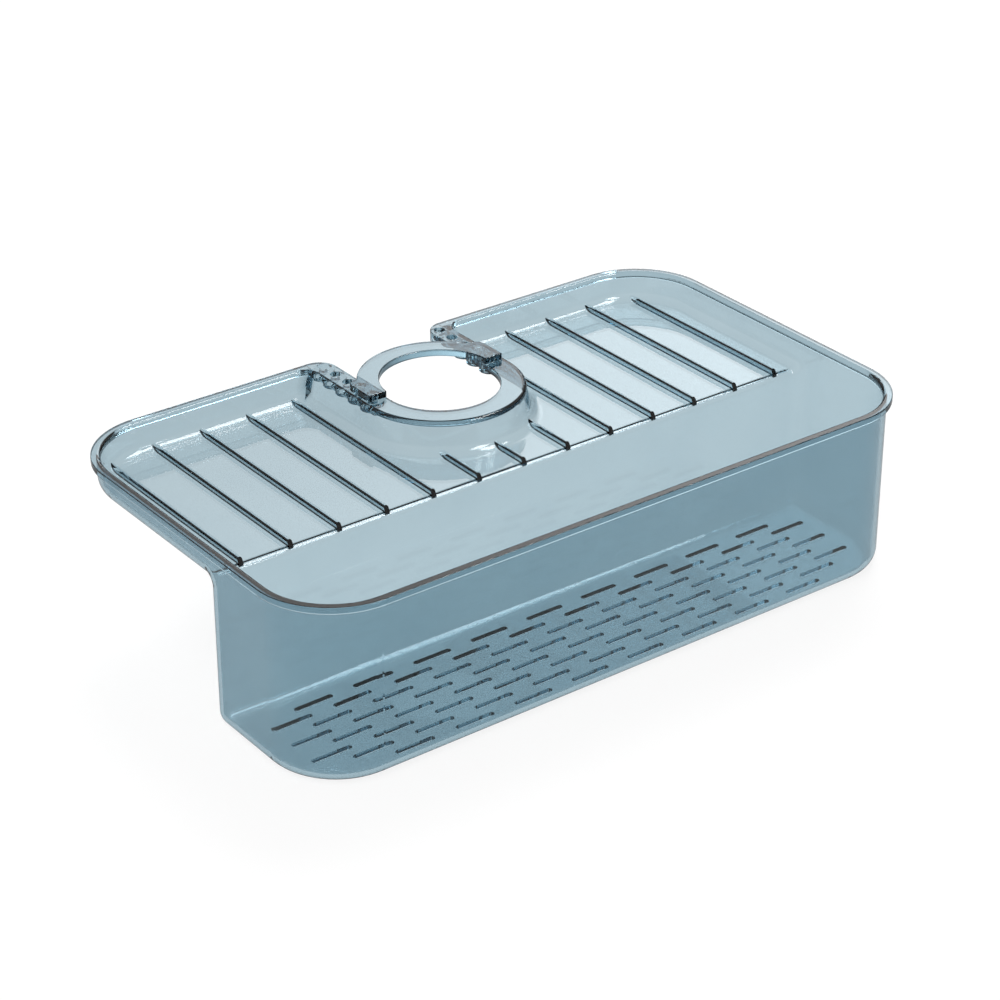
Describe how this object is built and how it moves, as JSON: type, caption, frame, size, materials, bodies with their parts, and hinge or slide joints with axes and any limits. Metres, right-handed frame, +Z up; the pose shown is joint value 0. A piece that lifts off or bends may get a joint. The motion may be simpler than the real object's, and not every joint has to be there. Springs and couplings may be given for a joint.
{
  "type": "kitchen sink caddy",
  "caption": "Clear tinted drain tray that sits round a faucet, with a deep slotted bin hanging in the sink and a lift-off yoke behind the faucet.",
  "frame": {"origin": "the faucet collar's axis at the lower face of its flange", "axes": "+X along the long side, +Y from the bin towards the wall behind the sink, +Z up along the faucet"},
  "size_m": [0.38, 0.223, 0.1016],
  "materials": {
    "tinted_clear": "clear blue-grey plastic, polished inside and out",
    "yoke_clear": "clear blue-grey plastic, polished"
  },
  "bodies": {
    "caddy": {"caddy_body": "tinted_clear"},
    "yoke": {"yoke": "yoke_clear"}
  },
  "joints": [
    {"name": "yoke_lift", "type": "slide", "parent": "caddy", "child": "yoke", "axis": [0, 0, 1], "range_m": [0, 0.04]}
  ]
}
